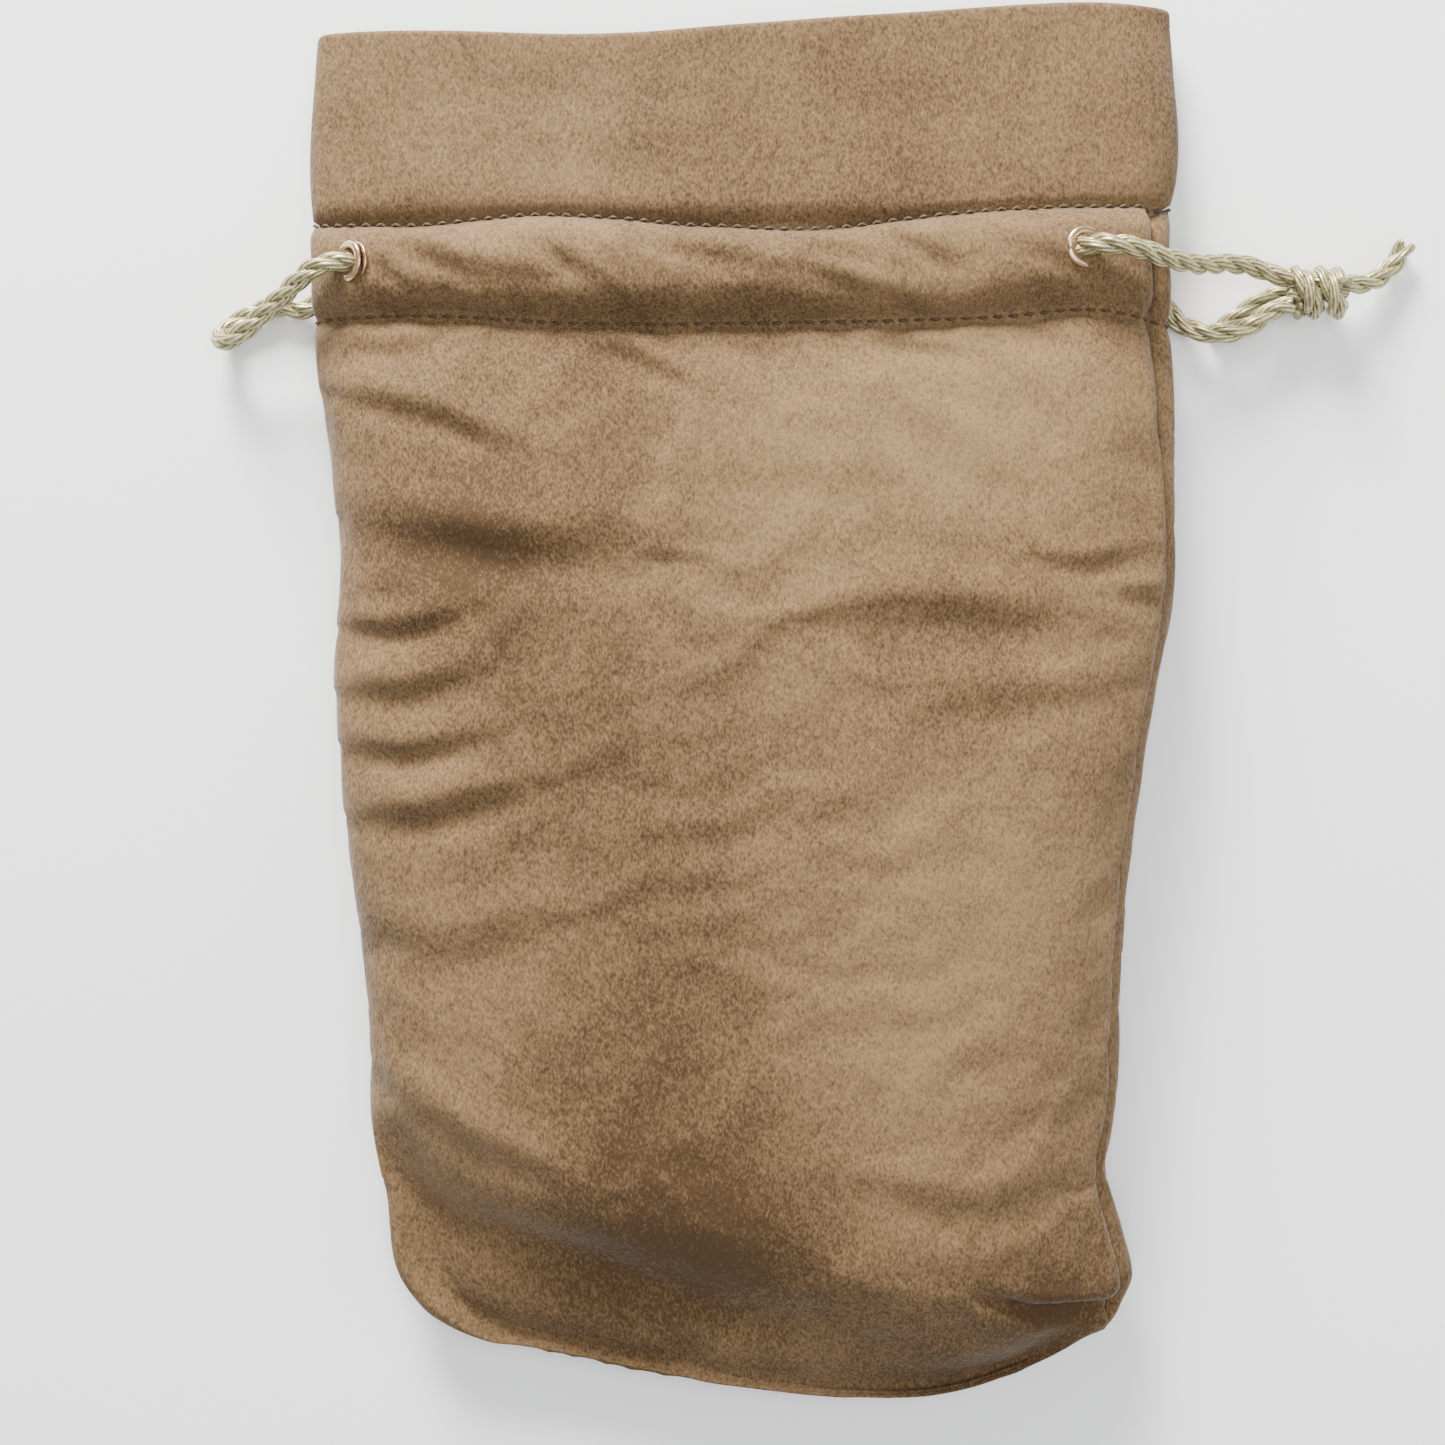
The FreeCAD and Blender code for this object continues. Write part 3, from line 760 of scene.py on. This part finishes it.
def lineDistance(points, line):
    # distance from a listed line, which side, and how far along it
    best = np.full(points.shape[:-1], 1e9)
    signed = np.zeros(points.shape[:-1])
    share = np.zeros(points.shape[:-1])
    line = np.array(line, float)
    steps = np.linalg.norm(np.diff(line, axis=0), axis=1)
    before = 0.0
    for start, end, step in zip(line[:-1], line[1:], steps):
        direction = (end - start) / step
        offset = points - start
        place = np.clip(offset @ direction, 0, step)
        near = offset - place[..., None] * direction
        distance = np.linalg.norm(near, axis=-1)
        closer = distance < best
        side = direction[0] * offset[..., 1] - direction[1] * offset[..., 0]
        best = np.where(closer, distance, best)
        signed = np.where(closer, np.sign(side) * distance, signed)
        share = np.where(closer, (before + place) / steps.sum(), share)
        before += step
    return best, signed, share


def foldField(flat):
    # each fold rises above its line and falls below it
    field = np.zeros(flat.shape[:-1])
    for line, width, height in folds:
        best, signed, share = lineDistance(flat, line)
        taper = np.sin(math.pi * np.clip(share * 0.92 + 0.04, 0, 1)) ** 0.7
        reach = signed / width
        field += height * taper * 1.65 * reach * np.exp(-reach ** 2 / 1.1)
    return field


def noiseField(grid, scale, seed):
    flat = grid.reshape(-1, 3) / scale
    values = [noise.noise(Vector((x + seed, y - seed, z))) for x, y, z in flat]
    return np.array(values).reshape(grid.shape[:2])


def unevenness(grid, shape):
    height, scale, seed = shape
    return height * noiseField(grid, scale, seed)


def shapePanel(grid, casingRows, upper):
    normals = gridNormals(grid)
    if (normals[:, grid.shape[1] // 2, 2].mean() > 0) != upper:
        normals = -normals
    flat = grid[..., :2]
    rows = np.arange(grid.shape[0])[:, None]
    spacing = pouch["spacing"]
    lift = np.zeros(grid.shape[:2])
    for stitchRow in (0, casingRows):
        away = np.abs(rows - stitchRow) * spacing
        seed = stitchRow * pucker["seedStep"] + pucker["seed"]
        waves = noiseField(grid * np.array(pucker["drawnOut"]), pucker["wave"], seed)
        near = np.exp(-(away / pucker["reach"]) ** 2)
        off = 1 - np.exp(-(away / pucker["clear"]) ** 2)
        lift += pucker["depth"] * 2 * waves * near * off
        lift -= pucker["groove"] * np.exp(-(away / pucker["grooveWidth"]) ** 2)
    columns = np.arange(grid.shape[1])[None, :]
    rightEdge = grid.shape[1] - 1 if upper else 0
    for edge in (0, grid.shape[1] - 1):
        away = np.abs(columns - edge) * spacing
        depth, width = sideGroove["right" if edge == rightEdge else "left"]
        lift = lift - depth * np.exp(-(away / width) ** 2)
    fromStitch = np.minimum(rows, np.abs(rows - casingRows)) * spacing
    calm = 1 - np.exp(-(fromStitch / relief["calm"]) ** 2)
    fromEdge = np.minimum(columns, grid.shape[1] - 1 - columns)
    fade = smooth(fromEdge / relief["fade"])
    if upper:
        lift += foldField(flat) * fade * calm
        best, signed, share = lineDistance(flat, cornerCrease["line"])
        taper = smooth(share * 3) * smooth((1 - share) * 4 + 0.4)
        lift -= cornerCrease["depth"] * taper * np.exp(-(best / cornerCrease["width"]) ** 2)
        best, signed, share = lineDistance(flat, baseBend["line"])
        lower = smooth(0.5 - signed / baseBend["width"])
        roundRow = smooth((grid[..., 2] - relief["roundFrom"]) / relief["roundOver"])
        fromSide = smooth(fromEdge * spacing / relief["sideOver"])
        grid[..., 2] -= baseBend["drop"] * lower * roundRow * fromSide
    lift += unevenness(grid, relief["broad"]) * fade + unevenness(grid, relief["fine"]) * fade
    if not upper:
        lift *= relief["backShare"]
    grid += normals * lift[..., None]
    grid[..., 2] = np.maximum(grid[..., 2], pouch["lowest"])
    return grid


def gridMesh(name, grid, material, closed=False):
    rows, columns = grid.shape[:2]
    faces, uvs = [], []
    last = columns if closed else columns - 1
    for row in range(rows - 1):
        for column in range(last):
            after = (column + 1) % columns
            a, b = row * columns + column, row * columns + after
            faces.append((a, b, b + columns, a + columns))
            uvs.append((
                (column / columns, row / rows), ((column + 1) / columns, row / rows),
                ((column + 1) / columns, (row + 1) / rows), (column / columns, (row + 1) / rows),
            ))
    return meshPiece(name, [(grid.reshape(-1, 3), faces, uvs)], material)


# place, reach and strength of each brush stroke, light where it is positive: the brushed nap, and painted
# shade in the folds, creases and along the base bend
napAndShadeStrokes = (
    ((50, 52), 26, 0.8), ((30, -68), 34, 0.6), ((52, -30), 24, 0.35), ((12, 44), 22, 0.35),
    ((-55, -90), 18, 0.5),
    ((-30, 50), 26, -0.2), ((-55, 30), 20, -0.6), ((-15, -55), 26, -0.45), ((-30, -10), 24, -0.3),
    ((-20, -108), 30, -0.6), ((10, -112), 20, -0.4), ((40, 118), 26, -0.3), ((10, 10), 18, 0.2),
    ((-5, 88), 20, -0.2), ((40, 14), 24, -0.3), ((75, 115), 14, -0.2), ((62, -121), 11, -1.2),
    ((-5, -103), 24, -0.6), ((-59, 28), 15, -0.5), ((-27, 69), 11, -0.6), ((40, -132), 20, -0.5),
)


def paintNapAndShade(piece):
    # where the pile was brushed light or dark, plus painted shade in the folds, creases and along the base
    # bend
    mesh = piece.data
    layer = mesh.attributes.new("napAndShade", "FLOAT", "POINT")
    values = []
    for vertex in mesh.vertices:
        x, y = vertex.co.x / mm, vertex.co.y / mm
        value = 0.0
        for (cx, cy), reach, amount in napAndShadeStrokes:
            value += amount * math.exp(-((x - cx) ** 2 + (y - cy) ** 2) / reach ** 2)
        values.append(value)
    layer.data.foreach_set("value", values)


def settleCloth(piece, grid, casingRows, upper):
    # the cloth is a little too large for its seams, so it puckers and creases between them
    rows, columns = grid.shape[:2]
    group = piece.vertex_groups.new(name="held")
    held = []
    for row in range(rows):
        for column in range(columns):
            if column in (0, columns - 1) or row in (0, casingRows, rows - 1):
                held.append(row * columns + column)
    group.add(list(range(rows * columns)), clothSim["loose"], "REPLACE")
    group.add(held, 1.0, "REPLACE")
    cloth = piece.modifiers.new("settle", "CLOTH")
    settings = cloth.settings
    settings.quality = clothSim["quality"]
    settings.mass = clothSim["mass"]
    settings.tension_stiffness = clothSim["tension"]
    settings.compression_stiffness = clothSim["compression"]
    settings.shear_stiffness = clothSim["shear"]
    settings.bending_stiffness = clothSim["bend"]
    settings.shrink_min = clothSim["grow"]
    settings.vertex_group_mass = "held"
    settings.pin_stiffness = 1.0
    settings.use_pressure = True
    settings.uniform_pressure_force = clothSim["push"] if upper else 0.0
    settings.effector_weights.gravity = 0.0
    cloth.collision_settings.use_collision = False
    cloth.collision_settings.use_self_collision = False
    cloth.point_cache.frame_start = 1
    cloth.point_cache.frame_end = clothSim["frames"]
    for number in range(1, clothSim["frames"] + 1):
        scene.frame_set(number)
    settled = piece.evaluated_get(bpy.context.evaluated_depsgraph_get()).to_mesh()
    moved = np.empty(rows * columns * 3)
    settled.vertices.foreach_get("co", moved)
    moved = moved.reshape(rows, columns, 3) / mm
    piece.evaluated_get(bpy.context.evaluated_depsgraph_get()).to_mesh_clear()
    makeActive(piece)
    bpy.ops.object.modifier_apply(modifier="settle")
    step = moved - grid
    size = np.linalg.norm(step, axis=2)[..., None]
    print(piece.name, "cloth moved", round(float(size.mean()), 2), "mm, at most", round(float(size.max()), 2))
    moved = grid + step * np.minimum(1.0, clothSim["most"] / np.maximum(size, 1e-6))
    moved[..., 2] = np.maximum(moved[..., 2], pouch["lowest"])
    piece.data.vertices.foreach_set("co", (moved * mm).ravel())
    piece.data.update()
    scene.frame_set(1)
    return moved


def addWall(piece, thickness, offset=-1.0):
    makeActive(piece)
    wall = piece.modifiers.new("wall", "SOLIDIFY")
    wall.thickness = thickness * mm
    wall.offset = offset
    bpy.ops.object.modifier_apply(modifier="wall")
    bpy.ops.object.shade_smooth()


def faceOneWay(piece, weld=True):
    makeActive(piece)
    bpy.ops.object.mode_set(mode="EDIT")
    bpy.ops.mesh.select_all(action="SELECT")
    if weld:
        bpy.ops.mesh.remove_doubles(threshold=0.00001)
    bpy.ops.mesh.normals_make_consistent(inside=False)
    bpy.ops.object.mode_set(mode="OBJECT")


def thicken(piece, thickness, offset=-1.0):
    faceOneWay(piece)
    addWall(piece, thickness, offset)


def faceOut(piece, upper):
    mesh = piece.data
    total = sum(polygon.normal.z * polygon.area for polygon in mesh.polygons)
    if (total > 0) != upper:
        mesh.flip_normals()


def sewTogether(front, back):
    # both panels meet in one line down each side and along the base
    rows, columns = front.shape[:2]
    rowAway, columnAway = np.arange(rows), np.arange(columns)
    for index, other in ((0, columns - 1), (columns - 1, 0)):
        line = (front[:, index] + back[:, other]) / 2
        for grid, own in ((front, index), (back, other)):
            fall = np.exp(-((columnAway - own) / 4.0) ** 2)
            grid += (line - grid[:, own])[:, None, :] * fall[None, :, None]
    line = (front[-1] + back[-1, ::-1]) / 2
    for grid, target in ((front, line), (back, line[::-1])):
        fall = np.exp(-((rowAway - (rows - 1)) / 6.0) ** 2)
        grid += (target - grid[-1])[None, :, :] * fall[:, None, None]
    for index, other in ((0, columns - 1), (columns - 1, 0)):
        line = (front[:, index] + back[:, other]) / 2
        front[:, index] = line
        back[:, other] = line


def makePanel(name, grid, casingRows, upper, node):
    piece = gridMesh(name, grid, suede)
    grid = settleCloth(piece, grid, casingRows, upper)
    faceOut(piece, upper)
    paintNapAndShade(piece)
    addWall(piece, pouch["thickness"])
    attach(piece, "pouch")
    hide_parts(node)
    return piece, grid


frontGrid, casingRows = panelGrid(True, pouch["spacing"])
backGrid, casingRows = panelGrid(False, pouch["spacing"])
frontGrid = shapePanel(frontGrid, casingRows, True)
backGrid = shapePanel(backGrid, casingRows, False)
sewTogether(frontGrid, backGrid)
frontCloth, frontGrid = makePanel("frontCloth", frontGrid, casingRows, True, "front_panel")
backCloth, backGrid = makePanel("backCloth", backGrid, casingRows, False, "back_panel")
print("panels ready")


def ringGrid(profile, columns):
    # rows of a closed band round the pouch, from pairs of place and inset
    places = np.linspace(0, 2, columns, endpoint=False)
    return np.array([rowPoints(y, places, 1.0, inset) for y, inset in profile])


header = {
    "rows": 34, "columns": 300, "below": 3.0, "edge": 1.6,
    "turnRows": 7, "turnFrom": 0.3, "turnHeight": 1.4, "turnDepth": 1.0, "turnInset": 1.35,
    # inset of the outer and inner cloth, and how much more it is inside the casing
    "outer": (0.35, 2.3), "inner": (2.35, 1.3), "tuckFrom": 1.4, "tuckOver": 2.0,
    # height, scale and seed
    "fineWaves": (0.5, 15.0, 5.5), "broadWaves": (0.8, 34.0, 1.5),
    "rise": 6.0, "creases": 0.5, "creaseAbove": 8, "dip": 0.9, "dipWidth": 1.5,
    "frontAbove": 7, "backShare": -0.4, "lowest": 0.1,
}


def makeHeader():
    # the cloth above the casing, turned in over the mouth edge and hemmed inside
    edge = nominal["mouth"] - header["edge"]
    outer = np.linspace(nominal["upper"] - header["below"], edge, header["rows"])
    tuck = [smooth((nominal["upper"] + header["tuckFrom"] - y) / header["tuckOver"]) for y in outer]
    inset, more = header["outer"]
    profile = [(y, inset + more * share) for y, share in zip(outer, tuck)]
    for angle in np.linspace(header["turnFrom"], math.pi - header["turnFrom"], header["turnRows"]):
        y = edge + header["turnHeight"] * math.sin(angle)
        profile.append((y, header["turnInset"] - header["turnDepth"] * math.cos(angle)))
    inset, more = header["inner"]
    profile += [(y, inset + more * share) for y, share in zip(outer[::-1], tuck[::-1])]
    grid = ringGrid(profile, header["columns"])
    away = (grid[..., 1] - nominal["upper"]) / header["rise"]
    waves = unevenness(grid, header["fineWaves"]) + unevenness(grid, header["broadWaves"])
    creases = foldField(grid[..., :2]) * (grid[..., 2] > header["creaseAbove"])
    seamDip = header["dip"] * np.exp(-(np.abs(away) * header["rise"] / header["dipWidth"]) ** 2)
    amount = waves * smooth(away) + header["creases"] * creases * smooth(away) - seamDip
    grid[..., 2] += amount * np.where(grid[..., 2] > header["frontAbove"], 1.0, header["backShare"])
    grid[..., 2] = np.maximum(grid[..., 2], header["lowest"])
    piece = gridMesh("headerCloth", grid, suede, closed=True)
    faceOneWay(piece, weld=False)
    paintNapAndShade(piece)
    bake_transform(piece)
    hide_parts("front_header", "back_header")
    print("header ready")


stitch = {
    "pitch": 3.1, "length": 2.3, "radius": 0.33, "sides": 8, "rings": 6, "sink": 0.42, "arch": 1.7,
    "bury": 0.7, "endFrom": 0.12, "endTo": 0.88, "first": 0.2, "lowest": 0.05,
}


def stitchParts(line, normals):
    # one short arched thread between each pair of needle holes
    steps = np.linalg.norm(np.diff(line, axis=0), axis=1)
    lengths = np.concatenate([[0], np.cumsum(steps)])
    count = int(lengths[-1] / stitch["pitch"])
    shares = np.linspace(0, 1, stitch["rings"])
    arch = stitch["sink"] * (stitch["arch"] * np.sin(math.pi * shares) - stitch["bury"])
    taper = np.sin(math.pi * np.linspace(stitch["endFrom"], stitch["endTo"], stitch["rings"]))
    radii = stitch["radius"] * np.sqrt(np.clip(taper, 0, 1))
    parts = []
    for index in range(count):
        start = (index + stitch["first"]) * lengths[-1] / count
        places = start + stitch["length"] * shares
        points = np.stack([np.interp(places, lengths, line[:, k]) for k in range(3)], axis=1)
        up = np.stack([np.interp(places, lengths, normals[:, k]) for k in range(3)], axis=1)
        points += up * arch[:, None]
        parts.append(strandTube(points, radii, stitch["sides"], places))
    return parts


facingShape = {
    "below": 1.0, "hem": 6.0, "rows": 18, "columns": 240, "inset": 2.9, "bulge": 3.6, "middle": 85.6,
    "halfHeight": 9.0, "thickness": 0.9,
}
allowanceShape = {
    "startRow": 8, "endRow": 24, "endColumn": 22, "baseShift": (0.0, 1.6, -2.4), "aim": 11.0,
    "sideShift": 0.8,
    "waves": ((0.4, 0.27), (0.2, 0.71)), "rows": 6, "start": 1.4, "width": 5.4, "thickness": 1.8,
    "stitchIn": 2.0, "stitchUp": 0.95,
}
tuckShape = {
    "row": 20, "steps": 8, "least": 3.0, "more": 13.0, "from": 4.0, "height": 11.0, "edge": 2.5,
    "level": 9.0, "ripple": 0.5, "ripples": 3, "thickness": 2.0,
}


def makeInside():
    # the facing that closes the channel, then the allowances and corner tucks of the seams
    top = nominal["upper"] - facingShape["below"]
    profile = []
    for y in np.linspace(top, nominal["lower"] - facingShape["hem"], facingShape["rows"]):
        away = (y - facingShape["middle"]) / facingShape["halfHeight"]
        profile.append((y, facingShape["inset"] + facingShape["bulge"] * max(0.0, 1 - away ** 2)))
    facing = gridMesh("facingCloth", ringGrid(profile, facingShape["columns"]), backing, closed=True)
    thicken(facing, facingShape["thickness"])
    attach(facing, "pouch")
    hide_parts("front_facing", "back_facing")
    strips = []
    shape = allowanceShape
    up = np.array([0.0, 0.0, 1.0])
    sides = (
        ("left", frontGrid[casingRows + shape["startRow"]:-shape["endRow"], 0]),
        ("right", frontGrid[casingRows + shape["startRow"]:-shape["endRow"], -1]),
        ("base", frontGrid[-1, shape["endColumn"]:-shape["endColumn"]]),
    )
    for name, line in sides:
        if name == "base":
            inward = np.tile(np.array([0.0, 1.0, 0.0]), (len(line), 1))
            line = line + np.array(shape["baseShift"])
        else:
            inward = np.stack([-line[:, 0], np.zeros(len(line)), shape["aim"] - line[:, 2]], axis=1)
            inward /= np.linalg.norm(inward, axis=1)[:, None]
            line = line + inward * shape["sideShift"]
        steps = np.arange(len(line))
        wave = sum(height * np.sin(steps * rate) for height, rate in shape["waves"])
        upright = up * wave[:, None]
        shares = np.linspace(0, 1, shape["rows"])
        reaches = shape["start"] + shape["width"] * shares
        grid = [line + inward * reach + upright * share for reach, share in zip(reaches, shares)]
        strip = gridMesh(name + "Allowance", np.array(grid), backing)
        thicken(strip, shape["thickness"], 0.0)
        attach(strip, "pouch")
        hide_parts(name + "_seam_allowance")
        strips.append(strip)
        ups = np.tile(up, (len(line), 1))
        seam = line + inward * shape["stitchIn"] + ups * shape["stitchUp"]
        thread = meshPiece(name + "SeamStitches", stitchParts(seam, ups), sewing)
        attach(thread, "pouch")
        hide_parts(name + "_seam_thread")
    # the folded ear inside each boxed corner
    shape = tuckShape
    shares = np.linspace(0, 1, shape["steps"])
    for name, column, sign in (("left", 0, -1), ("right", -1, 1)):
        corner = frontGrid[-shape["row"], column]
        rows = []
        for share in shares:
            reach = shape["least"] + shape["more"] * (1 - share)
            y = corner[1] + shape["from"] + shape["height"] * share
            row = []
            for k in shares:
                x = corner[0] - sign * (shape["edge"] + reach * k)
                row.append((x, y, shape["level"] + shape["ripple"] * math.sin(shape["ripples"] * k)))
            rows.append(row)
        ear = gridMesh(name + "CornerTuck", np.array(rows), backing)
        thicken(ear, shape["thickness"], 0.0)
        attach(ear, "pouch")
        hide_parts(name + "_corner_tuck")
        strips.append(ear)
    print("inside ready")
    return strips


makeHeader()
allowances = makeInside()


def makeStitches():
    rows = (
        ("frontUpperStitches", frontGrid, 0, "front_upper_stitches"),
        ("frontLowerStitches", frontGrid, casingRows, "front_lower_stitches"),
        ("backUpperStitches", backGrid, 0, "back_upper_stitches"),
        ("backLowerStitches", backGrid, casingRows, "back_lower_stitches"),
    )
    for name, grid, row, node in rows:
        normals = gridNormals(grid)
        if (normals[row, grid.shape[1] // 2, 2] > 0) != (grid is frontGrid):
            normals = -normals
        parts = stitchParts(grid[row], normals[row])
        # back stitches are pressed flat where they would go through the floor
        for vertices, faces, uvs in parts:
            vertices[:, 2] = np.maximum(vertices[:, 2], stitch["lowest"])
        piece = meshPiece(name, parts, sewing)
        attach(piece, "pouch")
        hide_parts(node)
    print("stitches ready")


makeStitches()


eyelet = {
    # radius and height of the rolled rim, from the hole outward
    "rim": (
        (2.5, -1.6), (2.5, -0.2), (2.62, 0.32), (3.0, 0.56), (3.5, 0.52), (3.95, 0.3), (4.2, 0.0),
        (4.0, -0.15), (2.9, -0.1), (2.9, -1.6),
    ),
    "washer": ((2.9, -1.2), (4.0, -1.2), (4.2, -1.4), (4.0, -1.7), (2.9, -1.7)),
    "tilts": {"front_left": -46.0, "front_right": 18.0, "back_left": -112.0, "back_right": 112.0},
}


def spunRing(name, profile, node, tilt):
    # a ring pulled up from a circle, one lip after another, then set in the cloth
    deselectAll()
    radius, height = profile[0]
    bpy.ops.mesh.primitive_circle_add(vertices=48, radius=radius * mm, location=(0, 0, height * mm))
    piece = bpy.context.object
    piece.name = name
    bpy.ops.object.transform_apply(location=True, rotation=True, scale=True)
    bpy.ops.object.mode_set(mode="EDIT")
    bpy.ops.mesh.select_all(action="SELECT")
    for nextRadius, nextHeight in (*profile[1:], profile[0]):
        bpy.ops.mesh.extrude_edges_move(TRANSFORM_OT_translate={"value": (0, 0, (nextHeight - height) * mm)})
        share = nextRadius / radius
        bpy.ops.transform.resize(value=(share, share, 1.0), center_override=(0, 0, 0))
        radius, height = nextRadius, nextHeight
    bpy.ops.object.mode_set(mode="OBJECT")
    faceOneWay(piece)
    low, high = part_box(node)
    piece.rotation_euler = (0, math.radians(tilt), 0)
    centre = [(a + b) / 2 for a, b in zip(low, high)]
    middle = (max(h for r, h in profile) + min(h for r, h in profile)) / 2 * mm
    back = Vector((math.sin(math.radians(tilt)), 0, math.cos(math.radians(tilt)))) * middle
    piece.location = Vector(centre) - back
    makeActive(piece)
    bpy.ops.object.transform_apply(location=True, rotation=True, scale=True)
    piece.data.materials.append(brass)
    bpy.ops.object.shade_smooth()
    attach(piece, "pouch")
    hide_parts(node)


for corner, tilt in eyelet["tilts"].items():
    spunRing(corner + "Rim", eyelet["rim"], corner + "_eyelet", tilt)
    spunRing(corner + "Backing", eyelet["washer"], corner + "_washer", tilt)
print("eyelets ready")
